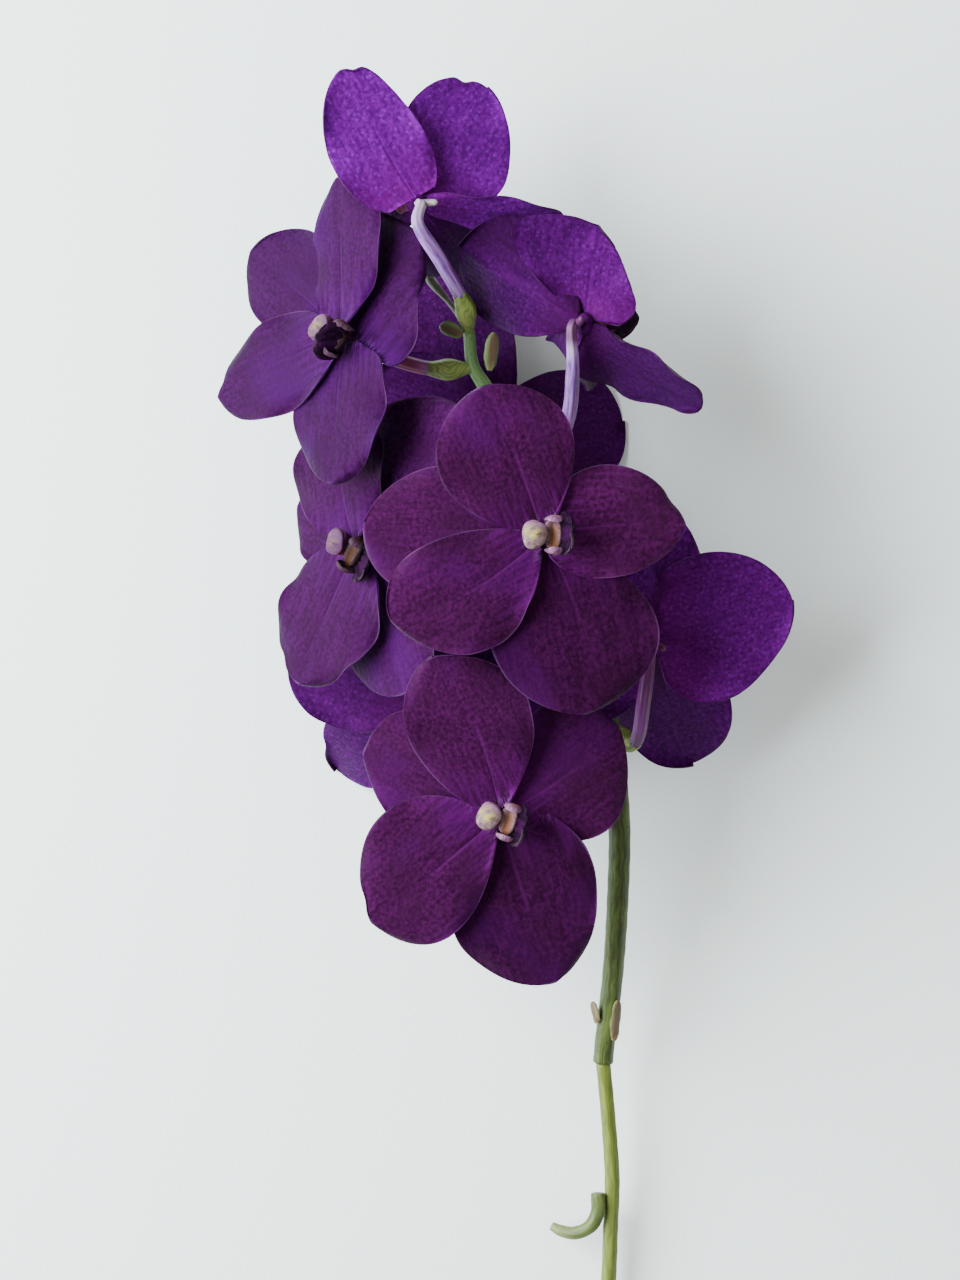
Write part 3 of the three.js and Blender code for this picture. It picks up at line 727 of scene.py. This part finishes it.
def column(name, bloom, number):
    """The stubby column: a hollow throat towards the lip, and a grooved, cleft cap."""
    heart, facing, hang, side = frame_of(bloom)
    surface = Surface()
    foot = HEART_HALF_HEIGHT + MIDDLE_GAP
    rows, sides = 36, 36
    share, angle = round_grid(np.linspace(0, 1, rows + 1), sides)
    cap = smoothstep(share, CAP_START, 1)
    groove = hump(share, CAP_GROOVE_AT, 0.05)
    throat = hump(share, THROAT_AT, 0.14) * np.clip(np.cos(angle), 0, 1) ** 3
    cleft = hump(np.sin(angle), 0, 0.22) * smoothstep(share, 0.75, 0.9)
    lumps = ripples(COLUMN_SEED + number, 4, np.cos(angle), np.sin(angle), 2 * share)
    radius = COLUMN_RADIUS * (0.6 + 0.8 * share - 0.8 * share**4) * np.sqrt(np.clip(1 - cap**2, 0, 1))
    radius *= (1 - 0.1 * groove) * (1 - 0.42 * throat)
    radius *= (1 + 0.05 * np.cos(3 * angle)) * (1.04 + 0.16 * lumps)
    up = foot + COLUMN_LENGTH * (share - 0.04 * cap) - 0.35 * cleft
    back = -COLUMN_LEAN * (0.5 + 0.5 * smoothstep(share, 0, 0.5))
    local = np.stack([back + radius * np.cos(angle), 1.2 * radius * np.sin(angle), up], axis=-1)
    local = np.vstack([local.reshape(-1, 3), [(back[0, 0], 0, foot), (back[-1, 0], 0, up[-1, 0])]])
    surface.add(
        heart + local @ np.array([hang, side, facing]),
        ring_faces(rows, sides),
        share=np.append(share.ravel(), [0, 1]),
        place=local,
        tone=MIDDLE_TONES.get(name, (1, 1))[0],
    )
    surface.piece(f"{name}_column_and_cap", COLUMN_CREAM, f"{name}_bloom_column")


def pad(surface, bloom, centre, tone):
    """Adds the egg-shaped pad at the tongue's foot, with a trough across its front."""
    facing, hang, side = frame_of(bloom)[1:]
    rows, sides = 24, 40
    slope, angle = round_grid(np.linspace(0, math.pi, rows + 1), sides)
    egg = np.stack([np.sin(slope) * np.cos(angle), np.sin(slope) * np.sin(angle), np.cos(slope)], axis=-1)
    egg = egg.reshape(-1, 3)
    trough = 0.6 * PAD_SIZE[2] * np.clip(egg[:, 2], 0, 1) * hump(egg[:, 0], 0, 0.55)
    local = egg * PAD_SIZE - np.outer(trough, (0, 0, 1))
    surface.add(
        centre + local @ np.array([hang, side, facing]),
        grid_faces(rows, sides, closed=True, flip=True),
        share=(slope / math.pi).ravel(),
        place=local,
        part=2,
        tone=tone,
    )


def lip(name, bloom, number):
    """The lip: a dark ridged tongue, a pad and two pale ears beside the column."""
    hang, side = frame_of(bloom)[2:]
    tone = MIDDLE_TONES.get(name, (1, 1))[1]
    surface = Surface()
    front = HEART_HALF_HEIGHT + bloom.get("lip_gap", MIDDLE_GAP)

    def in_lip(forward, towards_lip, sideways):
        return at(bloom, front + forward, LIP_FOOT + towards_lip, sideways)

    tip = spot(bloom["tongue"]) if "tongue" in bloom else in_lip(*TONGUE_TIP)
    blade(surface, in_lip(*TONGUE_FOOT), tip, hang, seed=TONGUE_SEED + number, **TONGUE_FORM)
    pad(surface, bloom, in_lip(*PAD_PLACE), tone)
    for sign in (1, -1):
        foot = in_lip(*LOBE_START[:2], sign * LOBE_START[2])
        tip = in_lip(*LOBE_END[:2], sign * LOBE_END[2])
        bends = dict(LOBE_FORM, thickness=LOBE_THICKNESSES[sign], seed=LOBE_SEED + number)
        blade(surface, foot, tip, -sign * side, part=1, tone=tone, **bends)
    surface.piece(f"{name}_lip_and_lobes", LIP_DARK, f"{name}_bloom_lip")


def stalk_line(bloom):
    """A flower stalk's course, from the green stem to the back of its bloom."""
    behind = -HEART_HALF_HEIGHT - GAP
    bends = [spot(place) for place in bloom["stalk"]]
    return bends + [at(bloom, behind - STRAIGHT_END, 0, 0), at(bloom, behind, 0, 0)]


def stalk_radius(distance, total, share, angle):
    swell = np.sin(math.pi * np.clip(distance / GREEN_FOOT_LENGTH, 0, 1)) ** 2
    grown = smoothstep(distance, 0, GREEN_FOOT_LENGTH)
    ribs = RIB_DEPTH * np.cos(STALK_RIBS * angle + RIB_TWIST * distance) * grown
    radius = STALK_FOOT_RADIUS + (STALK_RADIUS - STALK_FOOT_RADIUS) * grown + STALK_BULGE * swell
    return radius * (1 + ribs) * (1 - 0.3 * smoothstep(distance / total, 0.6, 1))


def spur_radius(distance, total, share, angle):
    along = distance / total
    return SPUR_RADIUS * (1 - 0.3 * along) * np.sqrt(np.clip(1 - smoothstep(along, 0.75, 1) ** 2, 0.01, 1))


def ovary(name, bloom, number):
    """The ribbed lilac stalk with the short spur beside it."""
    surface = Surface()
    start = GREEN_FOOT_LENGTH - FOOT_OVERLAP
    violet = STALK_VIOLET.get(name, NEVER_VIOLET)
    tube(surface, stalk_line(bloom), stalk_radius, 42, 0.7, start=start, seed=number, violet=violet)
    behind = -HEART_HALF_HEIGHT - GAP - SPUR_RADIUS - SPUR_CLEARANCE
    spur_line = [
        at(bloom, behind - back * SPUR_LENGTH, SPUR_SHIFT + towards_lip * SPUR_LENGTH, 0)
        for back, towards_lip in SPUR_BENDS
    ]
    spur_violet = ALL_VIOLET if name in STALK_VIOLET else NEVER_VIOLET
    tube(surface, spur_line, spur_radius, 20, 0.4, part=1, violet=spur_violet)
    surface.piece(f"{name}_ribbed_stalk", STALK_LILAC, f"{name}_bloom_ovary")


def stem_course(table):
    """A stem's places, and the function that gives its slightly uneven radius."""
    radii = [point[3] for point in table]
    steps = np.linspace(0, 1, len(radii))

    def radius_at(distance, total, share, angle):
        uneven = 1 + 0.02 * np.sin(5 * angle + distance * 0.05) + 0.015 * np.sin(distance * 0.9)
        return np.interp(share, steps, radii) * uneven

    return [spot(point[:3]) for point in table], radius_at


def green_stem():
    """The stem, its withered tip and the swollen green feet of the flower stalks."""
    surface = Surface()
    tube(surface, *stem_course(GREEN_STEM), 40, 0.9)
    tube(surface, *stem_course(WITHERED_TIP), 20, 0.5, part=2)
    for number, bloom in enumerate(BLOOMS.values()):
        line = stalk_line(bloom)
        end = curve_length(curve_through(line)[0])[-1] - GREEN_FOOT_LENGTH
        tube(surface, line, stalk_radius, 36, 0.6, end=end, part=1, seed=number)
    surface.piece("green_stem_and_stalk_feet", STEM_GREEN, "green_stem")


def plain_stem(name, table, material, node, step, start=0):
    surface = Surface()
    tube(surface, *stem_course(table), 36, step, start=start)
    surface.piece(name, material, node)


def scale(name, foot, tip, width, tilt, number):
    """A small dry or green scale on the stem."""
    surface = Surface()
    up = np.array((0, 0, 1))
    seed = SCALE_SEED + number
    blade(surface, spot(foot), spot(tip), up, width=width, tilt=tilt, seed=seed, **SCALE_FORM)
    brown = name.endswith("leaf_scale")
    material, slot = (SCALE_BROWN, "brown_scale") if brown else (SCALE_GREEN, "green_scale")
    surface.piece(f"{name}_blade", material, name)


class Value:
    """A socket of a shader, with arithmetic that adds the nodes for it."""

    def __init__(self, skin, socket):
        self.skin = skin
        self.socket = socket

    def maths(self, operation, *operands):
        return self.skin.node("ShaderNodeMath", {"operation": operation}, dict(enumerate(operands)))

    def __add__(self, other):
        return self.maths("ADD", self, other)

    __radd__ = __add__

    def __sub__(self, other):
        return self.maths("SUBTRACT", self, other)

    def __rsub__(self, other):
        return self.maths("SUBTRACT", other, self)

    def __mul__(self, other):
        return self.maths("MULTIPLY", self, other)

    __rmul__ = __mul__

    def __abs__(self):
        return self.maths("ABSOLUTE", self)

    def ramp(self, low, high):
        """From 0 at low to 1 at high, held past both, and falling if low is the higher."""
        if low > high:
            return 1 - self.ramp(high, low)
        settings = {"interpolation_type": "SMOOTHSTEP"}
        inputs = {"Value": self, "From Min": low, "From Max": high}
        return self.skin.node("ShaderNodeMapRange", settings, inputs)


class Skin:
    """A material in the making: every node comes from node()."""

    def __init__(self, name):
        self.material = bpy.data.materials.new(name)
        self.material.use_nodes = True
        self.tree = self.material.node_tree
        self.shader = self.tree.nodes["Principled BSDF"]

    def node(self, kind, settings=None, inputs=None, output=0):
        made = self.tree.nodes.new(kind)
        for name, value in (settings or {}).items():
            setattr(made, name, value)
        for name, value in (inputs or {}).items():
            self.join(made.inputs[name], value)
        return Value(self, made.outputs[output])

    def join(self, socket, value):
        if isinstance(value, Value):
            self.tree.links.new(value.socket, socket)
        elif isinstance(value, tuple) and socket.type == "RGBA":
            socket.default_value = (*value, 1)
        else:
            socket.default_value = value

    def values(self, *names):
        """The values of these names that the surfaces give their points."""
        kind = "ShaderNodeAttribute"
        return [self.node(kind, {"attribute_name": name}, output="Fac") for name in names]

    def place(self):
        return self.node("ShaderNodeAttribute", {"attribute_name": "place"}, output="Vector")

    def coordinate(self, place, axis):
        return self.node("ShaderNodeSeparateXYZ", None, {"Vector": place}, output=axis)

    def times(self, vector, factors):
        """A place or a colour, with a factor for each of its three numbers."""
        return self.node("ShaderNodeVectorMath", {"operation": "MULTIPLY"}, {0: vector, 1: factors})

    def scaled(self, colour, factor):
        return self.node("ShaderNodeVectorMath", {"operation": "SCALE"}, {0: colour, "Scale": factor})

    def noise(self, place, scale, detail, roughness=0.5):
        inputs = {"Vector": place, "Scale": scale, "Detail": detail, "Roughness": roughness}
        return self.node("ShaderNodeTexNoise", None, inputs)

    def streaks(self, place, share, scale, detail):
        """Noise drawn out along a blade or a stem, to a share of its frequency there."""
        return self.noise(self.times(place, (share, 1, 1)), scale, detail)

    def cells(self, place, scale):
        inputs = {"Vector": place, "Scale": scale}
        return self.node("ShaderNodeTexVoronoi", None, inputs, output="Distance")

    def mix(self, factor, one, other):
        return self.node("ShaderNodeMix", {"data_type": "RGBA"}, {0: factor, 6: one, 7: other}, output=2)

    def bump(self, height, distance, strength):
        inputs = {"Height": height, "Distance": distance * MM, "Strength": strength}
        return self.node("ShaderNodeBump", None, inputs)

    def done(self, colour, roughness, normal, **constants):
        self.join(self.shader.inputs["Base Color"], colour)
        self.join(self.shader.inputs["Roughness"], roughness)
        self.join(self.shader.inputs["Normal"], normal)
        for name, value in constants.items():
            self.join(self.shader.inputs[name.replace("_", " ")], value)
        return self.material


def petal_violet():
    """Tepal skin: a deep mottled front and a bright dotted back, with veins and a rim."""
    skin = Skin("waxy_violet_petal")
    share, side, front, tone, hue = skin.values("share", "side", "front", "tone", "hue")
    place = skin.place()
    cell = skin.cells(place, 0.62)
    fine = skin.noise(place, 0.9, 3, 0.6)
    broad = skin.noise(place, 0.07, 2)
    patch = skin.noise(skin.times(place, (0.6, 1, 1.7)), 0.045, 2)
    streak = skin.streaks(place, 0.12, 0.9, 2)
    fibre = skin.streaks(place, 0.2, 2.2, 2)
    mottle = (fine * 0.7 + streak * 0.3).ramp(0.34, 0.68)
    rib = abs(side).ramp(0.05, 0) * share.ramp(0.75, 0.3)

    deep = skin.mix(mottle, (0.0115, 0.0012, 0.0105), (0.035, 0.003, 0.0335))
    deep = skin.mix(broad.ramp(0.4, 0.7) * 0.55, deep, (0.0155, 0.0024, 0.013))
    deep = skin.mix(patch.ramp(0.5, 0.68) * 0.45, deep, (0.034, 0.001, 0.05))
    glow = share.ramp(0.42, 0.08) * (0.15 + 0.5 * streak.ramp(0.42, 0.62))
    deep = skin.mix(glow, deep, (0.048, 0.0008, 0.06))
    pale_rays = share.ramp(0.15, 0.03) * fibre.ramp(0.48, 0.62)
    deep = skin.mix(pale_rays * 0.45, deep, (0.16, 0.055, 0.2))
    deep = skin.mix(rib * 0.3, deep, (0.055, 0.005, 0.065))

    bright = skin.mix(mottle, (0.027, 0.0002, 0.045), (0.064, 0.0008, 0.1))
    dots = cell.ramp(0.4, 0.12)
    bright = skin.mix(dots * 0.35, bright, (0.11, 0.01, 0.19))
    dark_rays = share.ramp(0.5, 0.12) * (0.35 + 0.65 * fibre.ramp(0.42, 0.6))
    bright = skin.mix(dark_rays * 0.6, bright, (0.045, 0.0001, 0.04))
    bright = skin.mix(rib * 0.35, bright, (0.03, 0.0002, 0.05))

    colour = skin.scaled(skin.mix(front, bright, deep), tone)
    colour = skin.mix(hue.ramp(0, 1), colour, skin.times(colour, (0.88, 0.6, 1.3)))
    colour = skin.mix(hue.ramp(0, -1), colour, skin.times(colour, (1.05, 1.2, 0.75)))
    edge = abs(side).ramp(0.97, 0.998) * share.ramp(0.1, 0.3)
    tip = share.ramp(0.985, 0.999)
    rim = edge + tip - edge * tip
    rim_colour = skin.mix(front, (0.02, 0.0005, 0.025), (0.085, 0.03, 0.1))
    colour = skin.mix(rim * (0.15 + 0.4 * broad.ramp(0.4, 0.6)), colour, rim_colour)
    height = fine * 0.6 + streak * 0.5 + cell.ramp(0, 0.7) * 0.25 - rib * 0.8
    normal = skin.bump(height, 0.35, 0.55)
    gloss = {"Specular_IOR_Level": 0.12, "Specular_Tint": (0.5, 0.06, 0.55)}
    return skin.done(colour, 0.5 + 0.15 * fine, normal, **gloss)


def lip_dark():
    """Lip skin: part 0 is the dark tongue, 1 the striped pale lobes, 2 the pad."""
    skin = Skin("lip_tongue_and_lobes")
    share, side, part, tone = skin.values("share", "side", "part", "tone")
    place = skin.place()
    towards, across = skin.coordinate(place, "X"), skin.coordinate(place, "Y")
    grain = skin.noise(place, 1.2, 3)
    tongue = skin.mix(grain.ramp(0.35, 0.7), (0.004, 0.002, 0.005), (0.016, 0.002, 0.018))
    tongue = skin.mix(abs(side).ramp(0.4, 0.05) * 0.4, tongue, (0.03, 0.002, 0.035))
    curl = side.ramp(-0.8, -0.98) * share.ramp(0.45, 0.8)
    tongue = skin.mix(curl * 0.25, tongue, (0.14, 0.07, 0.12))
    stripe = abs(side - 0.1).ramp(0.5, 0.1) * share.ramp(0.05, 0.3) * share.ramp(0.95, 0.7)
    lobe = skin.mix(grain.ramp(0.3, 0.7), (0.1, 0.035, 0.09), (0.21, 0.11, 0.17))
    lobe = skin.mix(share.ramp(0.6, 0.1) * 0.6, lobe, (0.06, 0.012, 0.06))
    lobe = skin.mix(stripe * 0.85, lobe, (0.15, 0.05, 0.012))
    hollow = skin.mix(grain.ramp(0.3, 0.7), (0.13, 0.06, 0.08), (0.24, 0.14, 0.17))
    flame = abs(towards).ramp(2, 0.5) * across.ramp(3.6, 0.5) * (0.4 + 0.5 * grain.ramp(0.35, 0.6))
    hollow = skin.mix(flame, hollow, (0.17, 0.07, 0.016))
    hollow = skin.mix(towards.ramp(1.2, 2.4) * 0.8, hollow, (0.03, 0.014, 0.02))
    colour = skin.mix(part.ramp(0.2, 0.8), tongue, skin.scaled(lobe, tone))
    colour = skin.mix(part.ramp(1.2, 1.8), colour, skin.scaled(hollow, tone))
    return skin.done(colour, 0.5 + grain * 0.15, skin.bump(grain, 0.25, 0.6), Specular_IOR_Level=0.03)


def column_cream():
    """Column skin: mottled cream, lilac at its foot, darkened to olive by painted shade on the side
    towards the lip, and violet all over where tone is 0.
    """
    skin = Skin("waxy_cream_column")
    share, tone = skin.values("share", "tone")
    place = skin.place()
    towards, across = skin.coordinate(place, "X"), skin.coordinate(place, "Y")
    grain = skin.noise(place, 0.8, 3)
    blotch = skin.noise(place, 0.5, 1)
    colour = skin.mix(grain.ramp(0.3, 0.7), (0.085, 0.045, 0.065), (0.2, 0.14, 0.14))
    colour = skin.mix(blotch.ramp(0.52, 0.66) * 0.7, colour, (0.12, 0.055, 0.085))
    yellow = (abs(across - 0.8) + abs(towards + 3.4)).ramp(4, 1.2) * blotch.ramp(0.3, 0.55)
    colour = skin.mix(yellow * share.ramp(0.5, 0.75), colour, (0.27, 0.22, 0.075))
    # Painted shade: the side towards the lip, which faces away from the light, is darkened to a dull
    # olive.
    painted_shade_olive = towards.ramp(-2.6, 0.2) * (0.5 + 0.5 * blotch.ramp(0.35, 0.6))
    colour = skin.mix(painted_shade_olive, colour, (0.075, 0.045, 0.04))
    pink_side = (across + 0.7 * grain).ramp(1.4, 3.4)
    colour = skin.mix(pink_side * 0.7, colour, (0.17, 0.075, 0.15))
    colour = skin.mix(share.ramp(0.55, 0.1) * 0.8, colour, (0.1, 0.02, 0.1))
    colour = skin.mix(tone, (0.035, 0.006, 0.04), colour)
    normal = skin.bump(grain, 0.3, 0.6)
    return skin.done(colour, 0.55, normal, Specular_IOR_Level=0.12, Subsurface_Weight=0.05)


def stalk_lilac():
    """Stalk skin: streaked lilac, greyer at its foot, paler at its top, or violet."""
    skin = Skin("ribbed_lilac_stalk")
    share, part, violet = skin.values("share", "part", "violet")
    streak = skin.streaks(skin.place(), 0.08, 1.3, 3)
    colour = skin.mix(streak.ramp(0.35, 0.65), (0.1, 0.034, 0.19), (0.24, 0.125, 0.36))
    colour = skin.mix(share.ramp(0.72, 0.95) * 0.8, colour, (0.36, 0.29, 0.38))
    colour = skin.mix(share.ramp(0.4, 0.2) * 0.4, colour, (0.16, 0.12, 0.12))
    colour = skin.mix(part.ramp(0.4, 0.6) * 0.7, colour, (0.2, 0.17, 0.12))
    colour = skin.mix(violet * 0.92, colour, (0.05, 0.002, 0.05))
    normal = skin.bump(streak, 0.3, 0.5)
    return skin.done(colour, 0.45, normal, Specular_IOR_Level=0.25, Subsurface_Weight=0.05)


def stem_green():
    """Stem skin: part 0 is the stem, 1 a swollen stalk foot, 2 the withered tip."""
    skin = Skin("green_stem_skin")
    share, part = skin.values("share", "part")
    place = skin.place()
    streak = skin.streaks(place, 0.1, 1, 3)
    speck = skin.cells(skin.times(place, (0.6, 1, 1)), 0.75)
    stem = skin.mix(streak.ramp(0.35, 0.65), (0.026, 0.04, 0.007), (0.066, 0.095, 0.0165))
    stem = skin.mix(share.ramp(0.25, 0) * 0.6, stem, (0.07, 0.15, 0.05))
    stem = skin.mix(speck.ramp(0.3, 0.1) * 0.6, stem, (0.035, 0.02, 0.014))
    foot = skin.mix(streak.ramp(0.35, 0.65), (0.08, 0.11, 0.018), (0.16, 0.2, 0.045))
    foot = skin.mix(share.ramp(0.1, 0) * 0.5, foot, (0.05, 0.1, 0.025))
    withered = skin.mix(streak, (0.05, 0.05, 0.035), (0.14, 0.14, 0.1))
    colour = skin.mix(part.ramp(0.2, 0.8), stem, foot)
    colour = skin.mix(part.ramp(1.2, 1.8), colour, withered)
    return skin.done(colour, 0.4 + streak * 0.15, skin.bump(streak, 0.3, 0.6), Specular_IOR_Level=0.3)


def plain_green(name, dark, light, tip_colour):
    """A streaked and blotched green skin that changes towards the stem's end."""
    skin = Skin(name)
    (share,) = skin.values("share")
    place = skin.place()
    streak = skin.streaks(place, 0.1, 1, 3)
    blotch = skin.noise(place, 0.12, 3)
    colour = skin.mix(streak.ramp(0.35, 0.65), dark, light)
    colour = skin.mix(blotch.ramp(0.5, 0.75) * 0.4, colour, dark)
    colour = skin.mix(share.ramp(0.6, 1) * 0.7, colour, tip_colour)
    return skin.done(colour, 0.42 + streak * 0.15, skin.bump(streak, 0.3, 0.5), Specular_IOR_Level=0.3)


def scale_skin(name, margin, middle):
    """A dry streaked skin, with one colour at a scale's margin and one in its middle."""
    skin = Skin(name)
    (side,) = skin.values("side")
    streak = skin.streaks(skin.place(), 0.15, 1.6, 3)
    centre = abs(side + streak * 0.3 - 0.15).ramp(0.75, 0.2)
    colour = skin.mix(centre, margin, middle)
    colour = skin.mix(streak.ramp(0.4, 0.7) * 0.3, colour, (0.02, 0.015, 0.01))
    return skin.done(colour, 0.6, skin.bump(streak, 0.3, 0.6))


def table_paper():
    """The pale paper under the spray, in metres, with a fine grain."""
    skin = Skin("pale_table")
    place = skin.node("ShaderNodeTexCoord", output="Object")
    grain = skin.noise(place, 900, 3, 0.6)
    wide = skin.noise(place, 4, 1)
    colour = skin.mix(wide.ramp(0.3, 0.7), (0.79, 0.85, 0.85), (0.82, 0.87, 0.87))
    return skin.done(colour, 0.75, skin.bump(grain, 0.25, 0.35))


PETAL_VIOLET = petal_violet()
LIP_DARK = lip_dark()
COLUMN_CREAM = column_cream()
STALK_LILAC = stalk_lilac()
STEM_GREEN = stem_green()
STEM_PALE = plain_green(
    "pale_lime_stem", (0.075, 0.098, 0.012), (0.13, 0.163, 0.022), (0.035, 0.035, 0.008)
)
SHOOT_GREEN = plain_green("side_shoot_skin", (0.04, 0.06, 0.012), (0.1, 0.13, 0.03), (0.19, 0.22, 0.09))
SCALE_GREEN = scale_skin("green_scale_skin", (0.09, 0.13, 0.035), (0.09, 0.05, 0.025))
SCALE_BROWN = scale_skin("dry_brown_scale_skin", (0.14, 0.13, 0.05), (0.1, 0.05, 0.02))


def camera():
    """Straight above the spray, as the photograph was taken."""
    data = bpy.data.cameras.new("photo_camera")
    data.sensor_width = SENSOR
    data.lens = SENSOR * (EYE_HEIGHT - SEEN_PLANE) / FRAME_HEIGHT_SEEN
    made = in_scene("photo_camera", data)
    made.location = (-FOOTPRINT_CENTRE[0] * MM, -FOOTPRINT_CENTRE[1] * MM, EYE_HEIGHT * MM)
    bpy.context.scene.camera = made


def window(place, target, size, power, colour):
    """A round soft light at a place in metres, turned towards its target."""
    data = bpy.data.lights.new("window", "AREA")
    data.shape = "DISK"
    data.size = size
    data.energy = power
    data.color = colour
    made = in_scene("window", data)
    made.location = place
    made.rotation_euler = (Vector(target) - Vector(place)).to_track_quat("-Z", "Y").to_euler()


def room():
    """The even light that the room adds."""
    world = bpy.data.worlds.new("soft_room")
    world.use_nodes = True
    background = world.node_tree.nodes["Background"]
    background.inputs["Color"].default_value = (1.0, 0.98, 0.95, 1)
    background.inputs["Strength"].default_value = 0.7
    bpy.context.scene.world = world


def table(half):
    """The flat sheet that the spray lies on, which isn't part of it."""
    mesh = bpy.data.meshes.new("table_top")
    corners = [(-half, -half, 0), (half, -half, 0), (half, half, 0), (-half, half, 0)]
    mesh.from_pydata(corners, [], [(0, 1, 2, 3)])
    mesh.materials.append(table_paper())
    in_scene("table_top", mesh)


camera()
room()
window(place=(-0.78, 0.2, 0.6), target=(0, 0.05, 0), size=1.05, power=62, colour=(0.92, 0.99, 1.0))
table(half=1.6)
for number, (name, bloom) in enumerate(BLOOMS.items()):
    tepals(name, bloom, number)
    lip(name, bloom, number)
    column(name, bloom, number)
    ovary(name, bloom, number)
green_stem()
plain_stem("pale_stem_skin", PALE_STEM, STEM_PALE, "pale_stem", 0.9, start=GAP)
plain_stem("side_shoot_skin", SIDE_SHOOT, SHOOT_GREEN, "side_shoot", 0.5)
for number, (name, shape) in enumerate(SCALES.items()):
    scale(name, *shape, number)
